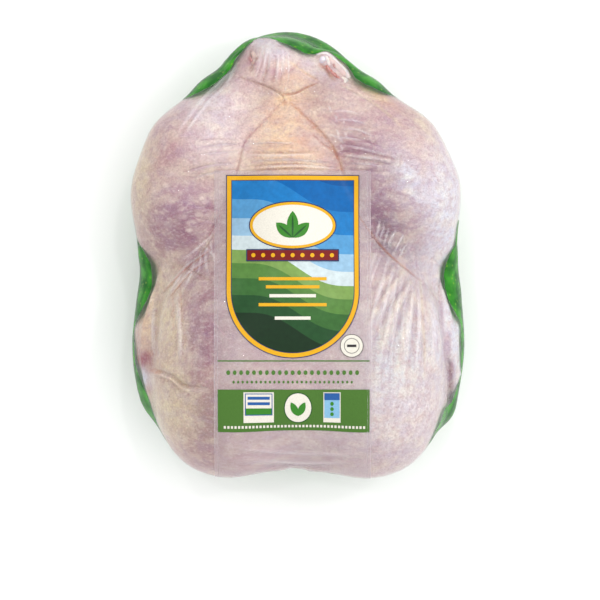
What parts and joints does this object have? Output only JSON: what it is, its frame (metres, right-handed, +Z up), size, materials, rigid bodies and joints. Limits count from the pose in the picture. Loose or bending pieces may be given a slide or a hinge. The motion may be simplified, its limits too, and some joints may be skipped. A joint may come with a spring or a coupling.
{
  "type": "whole raw chicken in a shrink bag",
  "caption": "Whole raw young chicken on its back, breast up, legs tucked under the tail skin, drawn tight in a clear shrink bag with a printed back and a label strip down the breast.",
  "frame": {"origin": "on the surface that the pack lies on, below the middle of its length and width", "axes": "+Z up, the way the breast faces; +Y along the bird towards its legs; +X across, towards the bird's own right side, which is the right of the picture"},
  "size_m": [0.1904, 0.2562, 0.1103],
  "materials": {
    "chicken_skin": "raw skin, pale pink, damp",
    "clear_film": "clear shrink film, glossy",
    "panel_print": "blue and green print on film",
    "band_print": "green print on film",
    "mark_print": "white print on film"
  },
  "bodies": {
    "root": {"bagged_chicken": "chicken_skin", "label_strip": "clear_film", "label_panel": "panel_print", "label_band": "band_print", "label_round_mark": "mark_print", "band_square_mark": "mark_print", "band_disc_mark": "mark_print", "band_tall_mark": "mark_print"}
  },
  "joints": []
}
